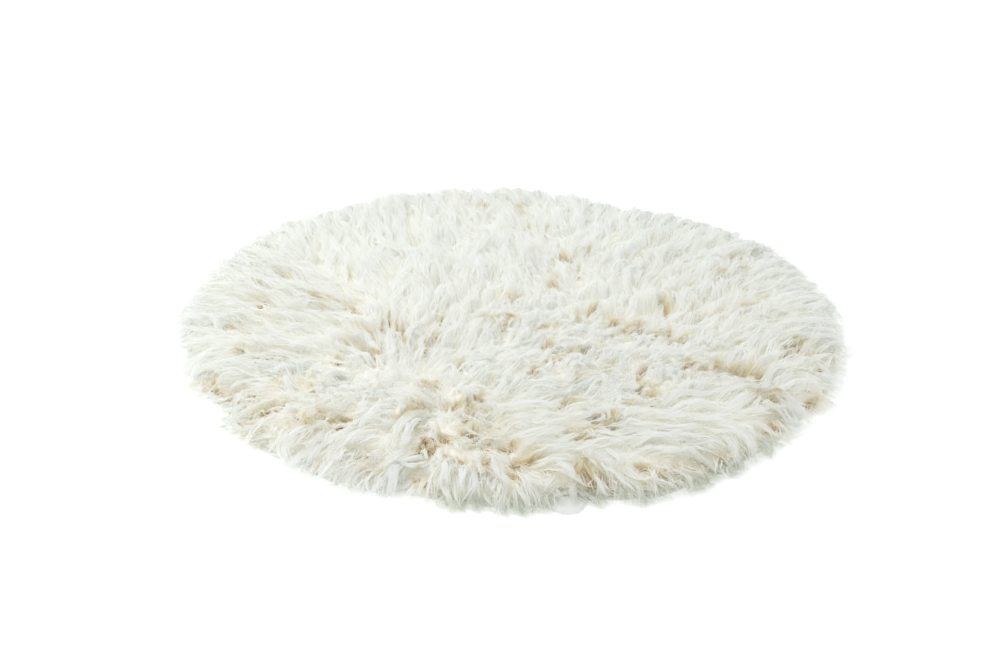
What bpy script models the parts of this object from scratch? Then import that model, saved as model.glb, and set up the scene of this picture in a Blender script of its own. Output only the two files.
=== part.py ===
"""A round long-wool shag rug, lying flat on the floor.

Metres, +Z up, +X to the right and +Y away from the front. The origin is on the
floor, under the middle of the rug's bounding box. Bearings are in degrees from +X,
turning towards +Y.
"""

import math
from collections import namedtuple

import bmesh
import bpy
from mathutils import Matrix, Vector, noise

# The woven ground cloth
CLOTH_THICKNESS = 0.003
CLOTH_SIDES = 96
CLOTH_EDGE = 0.0008  # the chamfer along its cut edge
GAP = 0.0003  # what the pile's solid keeps from the cloth's

# The pile
PILE_MIDDLE = 0.053  # height of the pile in the middle, with no lump
PILE_RIM = 0.046  # height at the roots of the rim's locks
TIER_SPLIT = 0.023  # height between the two tiers of roots
LOCK_REACH = 0.072  # the longest rim lock, from its root outwards
TOP_SETBACK = 0.010  # the rim's top edge lies this far inside its widest ring
BOTTOM_SETBACK = 0.004
RINGS = 22  # of the slab, each with six points more than the one inside it
SECTOR = 60.0  # degrees between the corners of the slab's six-sided grid
DOME_POWER = 3.0
RIM_CALM = 0.3  # share of the lumps' height that is lost at the rim
WIDTH_VARIETY = 25.0  # spreads the noise that makes the rim's locks wide and narrow
WIDTH_TURN = 0.6  # degrees that a root's corner may stray along the rim

# Lumps: noise drawn out along the way that the wool lies
LUMP_HEIGHT = 0.0095
LUMP_SIZE = 0.046
LUMP_STEP = 0.021
LUMP_STEPS = 2  # on each side
LUMP_GAIN = 1.4  # how soon the noise reaches a lump's full height
CROWN = Vector((-0.165, -0.060, 0.0))  # the wool lies away from this point

# Rim locks
EDGE_GAP = 0.0015  # clear of the cloth's edge, outwards
DROP_RUN = 0.006  # how far past the cloth a lock comes down to the floor
LEAST_ON_FLOOR = 0.003  # of each lock, where a stretch of the rim falls past the cloth
REACH_SPREAD = 0.18  # share of its length that a lock may be shorter
LEAN_SPREAD = 0.014  # how far a tip may stray sideways
REACH_VARIETY = 37.0  # spreads the noise, so that each lock's length is its own
LEAN_VARIETY = 5.0  # a slower noise, so that a few neighbours' tips gather
VARIETY_GAIN = 2.5
NOISE_START = 0.4  # off the noise's own grid, where it is always nought
TIER_SHIFT = 7.3  # parts the noise of the two tiers

Rim = namedtuple("Rim", "bearing wool cloth")
RIM = [
    Rim(0.0, 0.606, 0.568),
    Rim(30.0, 0.607, 0.566),
    Rim(60.0, 0.584, 0.550),
    Rim(90.0, 0.600, 0.560),
    Rim(120.0, 0.616, 0.572),
    Rim(150.0, 0.620, 0.576),
    Rim(180.0, 0.612, 0.572),
    Rim(210.0, 0.596, 0.562),
    Rim(238.0, 0.599, 0.568),
    Rim(258.0, 0.596, 0.582),
    Rim(277.0, 0.588, 0.592),
    Rim(296.0, 0.598, 0.580),
    Rim(316.0, 0.604, 0.568),
    Rim(338.0, 0.612, 0.570),
]

# A parting is a trough where the wool falls to two sides
Parting = namedtuple("Parting", "x y heading length width depth")
PARTINGS = [
    Parting(-0.285, 0.020, 150.0, 0.10, 0.034, 0.014),
    Parting(-0.215, -0.065, 140.0, 0.13, 0.038, 0.017),
    Parting(-0.110, -0.160, 20.0, 0.11, 0.038, 0.015),
    Parting(0.050, 0.170, 80.0, 0.17, 0.038, 0.016),
    Parting(0.150, 0.030, 10.0, 0.11, 0.034, 0.014),
    Parting(0.250, -0.010, 110.0, 0.12, 0.036, 0.016),
    Parting(0.380, -0.250, 132.0, 0.15, 0.036, 0.020),
    Parting(0.365, 0.190, 25.0, 0.10, 0.034, 0.012),
    Parting(0.180, -0.110, 150.0, 0.09, 0.034, 0.012),
    Parting(0.105, -0.405, 170.0, 0.12, 0.034, 0.013),
    Parting(-0.050, -0.345, 15.0, 0.12, 0.034, 0.015),
    Parting(-0.150, -0.395, 60.0, 0.16, 0.036, 0.017),
    Parting(-0.290, -0.300, 35.0, 0.11, 0.034, 0.013),
    Parting(0.300, -0.390, 160.0, 0.11, 0.034, 0.013),
    Parting(-0.390, -0.120, 5.0, 0.12, 0.034, 0.012),
]

# A rim lock's cross-sections, root end first. For each tier: the share that is left
# of the root's width, the height in metres, and how far the underside stands above
# what the lowest locks lie on
Section = namedtuple("Section", "width height lift")
LOWER_TIER = [
    Section(0.80, 0.0120, 0.0),
    Section(0.70, 0.0090, 0.0),
    Section(0.24, 0.0040, 0.0),
]
UPPER_TIER = [
    Section(0.84, 0.0185, 0.0175),
    Section(0.76, 0.0160, 0.0145),
    Section(0.26, 0.0060, 0.0095),
]

WOOL_COLOUR = (0.84, 0.82, 0.75, 1.0)
WOOL_ROUGHNESS = 0.9
CLOTH_COLOUR = (0.78, 0.77, 0.72, 1.0)
CLOTH_ROUGHNESS = 0.95


def clear_scene():
    for old in list(bpy.data.objects):
        bpy.data.objects.remove(old, do_unlink=True)


def plain_material(name, colour, roughness):
    material = bpy.data.materials.new(name)
    material.use_nodes = True
    shader = material.node_tree.nodes["Principled BSDF"]
    shader.inputs["Base Color"].default_value = colour
    shader.inputs["Roughness"].default_value = roughness
    shader.inputs["Metallic"].default_value = 0.0
    return material


def add_object(name, mesh, material):
    """Turns an edited mesh into a named object in the scene."""
    bmesh.ops.recalc_face_normals(mesh, faces=mesh.faces)
    data = bpy.data.meshes.new(name)
    mesh.to_mesh(data)
    mesh.free()
    data.materials.append(material)
    made = bpy.data.objects.new(name, data)
    bpy.context.scene.collection.objects.link(made)
    return made


def outward(bearing):
    return Vector((math.cos(math.radians(bearing)), math.sin(math.radians(bearing)), 0.0))


def bearing_of(point):
    return math.degrees(math.atan2(point.y, point.x)) % 360.0


def rim_reach(column, bearing):
    """How far the wool or the cloth reaches along a bearing, eased between the table's rows."""
    following = RIM[1:] + [RIM[0]._replace(bearing=360.0)]
    for row, after in zip(RIM, following):
        if row.bearing <= bearing <= after.bearing:
            part = (bearing - row.bearing) / (after.bearing - row.bearing)
            eased = part * part * (3.0 - 2.0 * part)
            start = getattr(row, column)
            return start + eased * (getattr(after, column) - start)
    return getattr(RIM[0], column)


def build_ground_cloth():
    """The woven cloth: a thin round sheet with a softened edge, flat underneath."""
    mesh = bmesh.new()
    bmesh.ops.create_circle(mesh, cap_ends=True, segments=CLOTH_SIDES, radius=1.0)
    for vertex in mesh.verts:
        bearing = bearing_of(vertex.co)
        vertex.co = outward(bearing) * rim_reach("cloth", bearing)
    raised = bmesh.ops.extrude_face_region(mesh, geom=mesh.faces[:])
    top = [item for item in raised["geom"] if isinstance(item, bmesh.types.BMVert)]
    bmesh.ops.translate(mesh, verts=top, vec=(0.0, 0.0, CLOTH_THICKNESS))
    cut_edges = [edge for edge in mesh.edges if edge.verts[0].co.z == edge.verts[1].co.z]
    bmesh.ops.bevel(mesh, geom=cut_edges, offset=CLOTH_EDGE, segments=1, affect="EDGES")
    caps = [face for face in mesh.faces if len(face.verts) > 4]
    bmesh.ops.poke(mesh, faces=caps)
    felt = plain_material("Woven cloth", CLOTH_COLOUR, CLOTH_ROUGHNESS)
    return add_object("ground_cloth", mesh, felt)


def variety(bearing, tier, spread):
    """A steady number from -1 to 1 that wanders round the rim, faster for a larger spread."""
    place = outward(bearing) * spread
    place.z = NOISE_START + TIER_SHIFT * tier
    return math.tanh(VARIETY_GAIN * noise.noise(place))


def grid_place(point):
    """Where a point of a six-sided grid of unit radius lies on a round one: bearing and share."""
    turn = bearing_of(point)
    sector = math.floor(turn / SECTOR)
    inner = math.radians(turn - SECTOR * sector)
    outer = math.radians(SECTOR) - inner
    part = math.sin(inner) / (math.sin(inner) + math.sin(outer))
    share = point.length / math.sqrt(1.0 - part + part * part)
    bearing = SECTOR * (sector + part)
    stray = WIDTH_TURN * share * variety(bearing, 0, WIDTH_VARIETY)
    return (bearing + stray) % 360.0, share


def slab_radius(bearing):
    """The radius of the slab's widest ring, from which the rim's locks grow."""
    return rim_reach("wool", bearing) - LOCK_REACH


def parting_depth(place):
    """How deep the partings cut at a place, as the deepest of them."""
    deepest = 0.0
    for row in PARTINGS:
        along = outward(row.heading)
        offset = place - Vector((row.x, row.y, 0.0))
        lengthways = offset.dot(along) / (row.length / 2.0)
        sideways = offset.cross(along).z / (row.width / 2.0)
        depth = row.depth * math.exp(-(lengthways**2) - sideways**2)
        deepest = max(deepest, depth)
    return deepest


def lump_height(place):
    """Long soft lumps that lie away from the crown, as combed locks do."""
    away = place - CROWN
    along = away.normalized() if away.length > LUMP_STEP else Vector((1.0, 0.0, 0.0))
    steps = range(-LUMP_STEPS, LUMP_STEPS + 1)
    total = sum(noise.noise((place + along * LUMP_STEP * step) / LUMP_SIZE) for step in steps)
    return LUMP_HEIGHT * math.tanh(LUMP_GAIN * total)


def pile_height(place, share):
    dome = PILE_MIDDLE - (PILE_MIDDLE - PILE_RIM) * share**DOME_POWER
    calmer = 1.0 - RIM_CALM * share**DOME_POWER
    return dome + calmer * (lump_height(place) - parting_depth(place))


def build_pile_top(mesh):
    """The slab's lumpy top, an even grid of triangles inside a round outline."""
    corner_to_x = Matrix.Rotation(math.radians(SECTOR / 2.0), 4, "Z")
    bmesh.ops.create_circle(
        mesh, cap_ends=True, cap_tris=True, segments=6, radius=1.0, matrix=corner_to_x
    )
    bmesh.ops.subdivide_edges(mesh, edges=mesh.edges[:], cuts=RINGS - 1, use_grid_fill=True)
    for vertex in mesh.verts:
        bearing, share = grid_place(vertex.co)
        place = outward(bearing) * share * (slab_radius(bearing) - TOP_SETBACK)
        vertex.co = place + Vector((0.0, 0.0, pile_height(place, share)))


def drop_rim(mesh, rim, setback, height):
    """Draws a ring of edges down to a given height. Gives the new ring and the faces made."""
    made = bmesh.ops.extrude_edge_only(mesh, edges=rim)["geom"]
    for vertex in (item for item in made if isinstance(item, bmesh.types.BMVert)):
        bearing = bearing_of(vertex.co)
        vertex.co = outward(bearing) * (slab_radius(bearing) - setback)
        vertex.co.z = height
    faces = [item for item in made if isinstance(item, bmesh.types.BMFace)]
    ring = [item for item in made if isinstance(item, bmesh.types.BMEdge) and item.is_boundary]
    return ring, faces


def lock_stations(bearing, tip):
    """A rim lock's stations as (distance from the middle, height it lies on)."""
    cloth = rim_reach("cloth", bearing)
    floor_start = cloth + DROP_RUN
    on_cloth = CLOTH_THICKNESS + GAP
    shortest = rim_reach("wool", bearing) - REACH_SPREAD * LOCK_REACH
    if shortest >= floor_start + LEAST_ON_FLOOR:
        return [(cloth + EDGE_GAP, on_cloth), (floor_start, 0.0), (tip, 0.0)]
    root = slab_radius(bearing)
    tip = min(tip, cloth - EDGE_GAP)
    return [(root + part * (tip - root), on_cloth) for part in (0.5, 0.75, 1.0)]


def grow_lock(mesh, root, tier, sections):
    """Draws one root face out through its cross-sections to a blunt tip."""
    bearing = bearing_of(root.calc_center_median())
    across = outward(bearing + 90.0)
    shorter = REACH_SPREAD * LOCK_REACH * (0.5 + 0.5 * variety(bearing, tier, REACH_VARIETY))
    lean = LEAN_SPREAD * variety(bearing, tier, LEAN_VARIETY)
    root_width = max((a.co - b.co).dot(across) for a in root.verts for b in root.verts)
    stations = lock_stations(bearing, rim_reach("wool", bearing) - shorter)
    start = slab_radius(bearing)
    face = root
    for (distance, bed), section in zip(stations, sections):
        middle = face.calc_center_median()
        offsets = [vertex.co - middle for vertex in face.verts]
        face = bmesh.ops.extrude_discrete_faces(mesh, faces=[face])["faces"][0]
        part = (distance - start) / LOCK_REACH
        centre = outward(bearing) * distance + across * lean * part * part
        centre.z = bed + section.lift + section.height / 2.0
        for vertex, offset in zip(face.verts, offsets):
            sideways = math.copysign(section.width * root_width / 2.0, offset.dot(across))
            upwards = math.copysign(section.height / 2.0, offset.z)
            vertex.co = centre + across * sideways + Vector((0.0, 0.0, upwards))


def build_wool_pile():
    """The shag: a lumpy slab on the cloth, with two tiers of locks falling from its rim."""
    mesh = bmesh.new()
    build_pile_top(mesh)
    top_ring = [edge for edge in mesh.edges if edge.is_boundary]
    middle_ring, upper_roots = drop_rim(mesh, top_ring, 0.0, TIER_SPLIT)
    base_ring, lower_roots = drop_rim(mesh, middle_ring, BOTTOM_SETBACK, CLOTH_THICKNESS + GAP)
    base = bmesh.ops.contextual_create(mesh, geom=base_ring)["faces"]
    bmesh.ops.poke(mesh, faces=base)
    bmesh.ops.recalc_face_normals(mesh, faces=mesh.faces)
    for root in lower_roots:
        grow_lock(mesh, root, 0, LOWER_TIER)
    for root in upper_roots:
        grow_lock(mesh, root, 1, UPPER_TIER)
    wool = plain_material("Long wool", WOOL_COLOUR, WOOL_ROUGHNESS)
    return add_object("wool_pile", mesh, wool)


def stand_on_origin(pieces):
    """Moves the pieces together, so that the box round them stands on the origin."""
    corners = [vertex.co for piece in pieces for vertex in piece.data.vertices]
    middle_x = (min(c.x for c in corners) + max(c.x for c in corners)) / 2.0
    middle_y = (min(c.y for c in corners) + max(c.y for c in corners)) / 2.0
    for piece in pieces:
        for vertex in piece.data.vertices:
            vertex.co -= Vector((middle_x, middle_y, 0.0))


clear_scene()
stand_on_origin([build_ground_cloth(), build_wool_pile()])
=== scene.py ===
"""Looks of a round long-wool shag rug: a woven cloth and the locks of wool on it.

Metres, +Z up, +X to the right and +Y away from the camera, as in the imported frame. Angles in the
constants and tables are in degrees, from +X towards +Y. A pair of numbers is a range.
"""

import math
from collections import namedtuple

import bpy
import numpy as np
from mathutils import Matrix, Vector
from mathutils.bvhtree import BVHTree


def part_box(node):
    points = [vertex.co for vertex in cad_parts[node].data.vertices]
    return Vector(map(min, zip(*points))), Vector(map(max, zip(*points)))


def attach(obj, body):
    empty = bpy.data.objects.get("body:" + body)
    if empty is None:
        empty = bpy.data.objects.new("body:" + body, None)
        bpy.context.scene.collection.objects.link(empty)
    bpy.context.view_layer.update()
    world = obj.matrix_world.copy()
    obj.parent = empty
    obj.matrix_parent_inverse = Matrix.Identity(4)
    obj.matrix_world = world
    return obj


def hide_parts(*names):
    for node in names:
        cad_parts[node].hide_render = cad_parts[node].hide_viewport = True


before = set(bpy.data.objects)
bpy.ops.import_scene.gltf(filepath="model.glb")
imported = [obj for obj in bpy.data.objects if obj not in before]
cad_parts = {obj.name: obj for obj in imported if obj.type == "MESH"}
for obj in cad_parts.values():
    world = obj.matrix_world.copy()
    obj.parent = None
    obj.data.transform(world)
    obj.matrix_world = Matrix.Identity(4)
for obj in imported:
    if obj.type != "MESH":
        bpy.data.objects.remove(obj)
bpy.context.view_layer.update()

BODY = "root"
TINY = 1e-9  # keeps a division from being by nought
UP = Vector((0.0, 0.0, 1.0))
DEGREES = np.arange(360.0)

# Seeds: of the noise in the lay, the gaps' edges, the dense wool, the rim's outline and the swells,
# and of what is left to chance in the first kind of lock, in each after it, and in the wisps
LAY_SEED, GAP_SEED, MAT_SEED, RIM_SEED, PUFF_SEED = 12, 14, 16, 18, 20
LOCK_SEED = 111
LOCK_SEED_STEP = 100
WISP_SEED = 911

# The photograph's frame, the camera that took it, and the studio
PHOTO_WIDTH = 1000
PHOTO_HEIGHT = 667
LENS = 50.0  # mm, on a sensor 36 mm wide
SENSOR = 36.0
CAMERA_DISTANCE = 2.5
CAMERA_ELEVATION = 27.3
CAMERA_AIM = Vector((-0.018, 0.0, -0.0152))
SIGHT_START = 0.8  # of the solid's height, from which a line of sight is followed down
SIGHT_ROUNDS = 4  # to the pile's top, in this many rounds
FLOOR_SIZE = 30.0
FLOOR_HEIGHT = -0.0005
FLOOR_GLOW = 0.15
SKY_COLOUR = (0.97, 0.99, 1.0, 1.0)
SKY_STRENGTH = 0.86
LAMP_PLACE = Vector((-1.5, 0.5, 2.4))
LAMP_SIZE = 2.5
LAMP_POWER = 30.0
LAMP_COLOUR = (1.0, 1.0, 0.995)
BOUNCES = 20  # of light, between the wool's strands

# The pile's shape
ROOT_HEIGHT = 0.006
FLOOR_CLEAR = 0.0012
CLOTH_CLEAR = 0.002  # past the cloth's edge, before wool comes down to the floor
ROOT_CLEAR = 0.005  # the least height of wool on the cloth
OVER_SOLID = 0.0105  # the most that the wool stands over the solid's top
ROOT_INSET = 0.008  # the outermost roots lie this far inside the cloth's edge
PUFF_SIZE = 0.020  # small rounded swells on the lumps of the pile's solid
PUFF_HEIGHT = 0.005
PUFF_MIDDLE = 0.6  # of the noise that makes them
RIPPLE_WAVES = 9  # that make up all the noise here
RIPPLE_LENGTHS = (1.4, 3.0)  # theirs, as multiples of a swell's size
MAP_STEP = 0.006  # between the points where the solid's height is read
OUTLINE_WINDOW = 3.0  # the outline's reach is the most within this much of a bearing

# How far, in millimetres, the wool's ends stay inside the solid's outline: its notches and tufts
Rim = namedtuple("Rim", "bearing inset")
RIM = [Rim(*row) for row in (
    # the right and behind
    (0, 12), (12, 6), (25, 4), (35, -6), (42, 10), (50, 28), (60, 32), (70, 28), (80, 22), (87, 10),
    (95, -6), (108, -10), (115, -14), (122, -14), (128, -22), (138, -38), (145, -34), (152, -24),
    (160, -12), (168, -8),
    # the left and front
    (174, -7), (182, -4), (188, 2), (194, 18), (201, 18), (205, 9), (210, 22), (215, 34), (221, 8),
    (228, 13), (235, 22), (240, 12), (245, 8), (250, 10), (255, 6), (261, 2), (268, 0), (275, 2),
    (278, 16), (281, 18), (284, 2), (287, -6), (292, -16), (297, -12), (301, 6), (306, 16), (311, 20),
    (316, 20), (321, 30), (326, 30), (331, 20), (340, 18), (346, 27), (352, 18),
)]
# Over what width of rim the wool comes down to the floor, and how much fuller it is just inside
Droop = namedtuple("Droop", "bearing width lift")
DROOPS = [Droop(*row) for row in (
    (0, 0.070, 0.0), (25, 0.060, 0.004), (60, 0.050, 0.006), (95, 0.034, 0.014), (120, 0.030, 0.016),
    (150, 0.034, 0.018), (178, 0.055, 0.008), (200, 0.090, 0.0), (225, 0.110, -0.004),
    (248, 0.105, -0.002), (265, 0.070, 0.0), (300, 0.070, 0.0),
)]
FULLER = (0.36, 0.54)  # how far out the wool grows fuller
CLOTH_COVER = 0.016  # the wool hides the cloth by this much, but for one place
CLOTH_SHOWS = 278.0  # bearing at which its edge shows
CLOTH_SHOWS_HALF = 4.6  # to either side, of all that shows, and of where it shows most
CLOTH_BARE_HALF = 0.6

# A row says which way the wool's tips lie at a place in the photograph, and how curled it is.
Lay = namedtuple("Lay", "column row heading curl")
LAY = [Lay(*row) for row in (
    # left of the crown
    (235, 255, 132, 0.1), (265, 262, 137, 0.1), (225, 290, 178, 0.1), (190, 302, 182, 0.0),
    (300, 285, 150, 0.1), (345, 310, 160, 0.2), (330, 332, 172, 0.2), (368, 340, 135, 0.2),
    (265, 346, 180, 0.1), (200, 372, 205, 0.3), (225, 393, 190, 0.4), (272, 403, 208, 0.5),
    (250, 420, 186, 0.3), (228, 432, 195, 0.1), (262, 453, 200, 0.2), (340, 375, 190, 0.6),
    (300, 375, 185, 0.4),
    # behind the crown
    (345, 262, 100, 0.1), (385, 318, 95, 0.1), (405, 330, 90, 0.0), (438, 322, 72, 0.0),
    (405, 350, 88, 0.1), (432, 360, 62, 0.1), (420, 215, 98, 0.1), (400, 250, 108, 0.1),
    (440, 275, 88, 0.1), (478, 205, 92, 0.1), (524, 212, 103, 0.1), (500, 270, 90, 0.1),
    (548, 238, 106, 0.1), (585, 242, 68, 0.1), (620, 228, 74, 0.1), (655, 228, 66, 0.1),
    (600, 300, 80, 0.3), (570, 302, 105, 0.3), (505, 320, 60, 0.6), (540, 332, 40, 0.6),
    # right
    (700, 260, 55, 0.4), (737, 250, 35, 0.1), (690, 305, 68, 0.1), (712, 312, 47, 0.0),
    (752, 300, 32, 0.0), (800, 275, 22, 0.0), (806, 316, 4, 0.0), (830, 300, 10, 0.0),
    (811, 332, -12, 0.0), (755, 362, 58, 0.0), (768, 376, 34, 0.0), (768, 389, -6, 0.0),
    (803, 354, 42, 0.0), (833, 353, 0, 0.0), (787, 403, -48, 0.0), (832, 383, -48, 0.0),
    (812, 402, -50, 0.0),
    # middle
    (545, 357, 20, 0.9), (590, 348, 25, 0.9), (640, 350, 30, 0.9), (680, 366, 20, 0.9),
    (640, 385, 10, 0.8), (600, 415, 0, 0.6), (480, 381, 35, 0.5), (480, 407, 8, 0.4), (500, 428, 15, 0.1),
    (535, 402, 3, 0.1), (570, 390, 10, 0.4), (555, 449, 8, 0.0), (615, 440, 0, 0.1), (660, 402, 3, 0.2),
    (720, 401, 0, 0.0), (430, 395, 150, 0.9), (385, 400, 215, 0.8),
    # front
    (345, 413, 233, 0.4), (312, 412, 250, 0.4), (318, 460, 238, 0.2), (369, 468, 207, 0.2),
    (378, 483, 222, 0.1), (400, 463, 221, 0.1), (395, 493, 252, 0.1), (412, 435, 248, 0.0),
    (450, 482, 270, 0.0), (485, 470, 277, 0.0), (515, 485, 290, 0.3), (545, 482, 300, 0.3),
    (585, 480, 286, 0.0), (608, 493, 300, 0.0), (638, 487, 283, 0.0), (660, 478, 284, 0.0),
    (655, 456, 331, 0.0), (699, 474, 315, 0.0), (721, 464, 300, 0.0), (712, 437, 314, 0.0),
    (765, 438, 311, 0.0), (773, 417, 340, 0.0), (665, 430, -10, 0.0),
)]
LAY_NEARNESS = 0.022  # rows closer to a lock than this count the same
LAY_POWER = 2.5
RADIAL = (0.52, 0.66)  # over this stretch, the wool turns to lie straight out over the rim
CURLED = (0.25, 0.65)  # of the table's curl, where curled locks take over
SPREAD_STEP = 0.012  # over which the lay's spread is measured
LAY_WANDER = 12.0  # degrees that the lay wanders from the table's
LAY_WANDER_SIZE = 0.06

# Single locks that can be told apart: half width and lift in millimetres, and where in the
# photograph their middle lines run, from the root
Tuft = namedtuple("Tuft", "half_width lift path")
TUFTS = [Tuft(*row) for row in (
    # the lock that loops over the deepest gap, and those swept out beneath it
    (10, 9, [(437, 417), (427, 411), (415, 413), (403, 424), (395, 438), (391, 452)]),
    (8, 7, [(440, 415), (430, 413), (417, 419), (409, 431), (404, 446)]),
    (5, 4, [(429, 453), (415, 459), (400, 466), (384, 473)]),
    (5, 3, [(434, 456), (424, 465), (410, 472), (396, 480)]),
    # the front
    (9, 4, [(452, 456), (450, 470), (448, 486), (446, 503)]),
    (7, 4, [(462, 460), (464, 474), (465, 490), (463, 504)]),
    (7, 4, [(489, 456), (487, 470), (490, 486), (498, 500)]),
    (5, 3, [(481, 452), (480, 466), (482, 480), (484, 492)]),
    (7, 3, [(398, 476), (394, 488), (391, 500), (391, 508)]),
    (5, 3, [(572, 466), (580, 474), (588, 484), (600, 494)]),
    (4, 3, [(578, 480), (586, 490), (596, 498), (606, 505)]),
    (4, 2, [(600, 486), (612, 492), (622, 498), (634, 503)]),
    (9, 3, [(527, 452), (542, 451), (560, 449), (580, 447)]),
    # the ring
    (4, 6, [(586, 424), (596, 428), (607, 427), (613, 420), (611, 412), (602, 408), (593, 410)]),
    (3, 5, [(590, 418), (594, 422), (601, 421), (605, 416), (600, 412)]),
    # the crown
    (7, 4, [(392, 356), (389, 344), (391, 330), (396, 316)]),
    (6, 4, [(402, 356), (406, 342), (414, 328), (426, 318)]),
    (5, 4, [(410, 360), (420, 348), (430, 336), (445, 328)]),
    (5, 4, [(384, 356), (374, 346), (366, 334), (360, 322)]),
    (6, 3, [(376, 360), (362, 352), (346, 347), (330, 345)]),
    # the fan on the right
    (8, 7, [(748, 384), (754, 374), (762, 364), (774, 356)]),
    (8, 7, [(760, 387), (768, 379), (780, 371), (796, 366)]),
    (7, 5, [(771, 391), (782, 389), (796, 385), (812, 383)]),
    # stray ends past the rim
    (4, 2, [(247, 430), (236, 429), (222, 429), (208, 430)]),
)]
USUAL_HALF = 10.0  # mm, of a single lock
TUFT_RISE = 0.25  # share of its length by which a single lock has come up to the pile's top
TUFT_LIFTED = 0.3  # and by which it has its full lift
TUFT_TIP = (0.7, 1.0)  # the stretch over which its tip comes down again
TUFT_TIP_DROP = 0.6  # by this share of the lift
TUFT_DEPTH = 0.012  # of its root
TUFT_SINK = 0.004  # how far its middle line lies in the pile
TUFT_EASINGS = 2  # rounds in which the corners of its path are rounded

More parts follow.
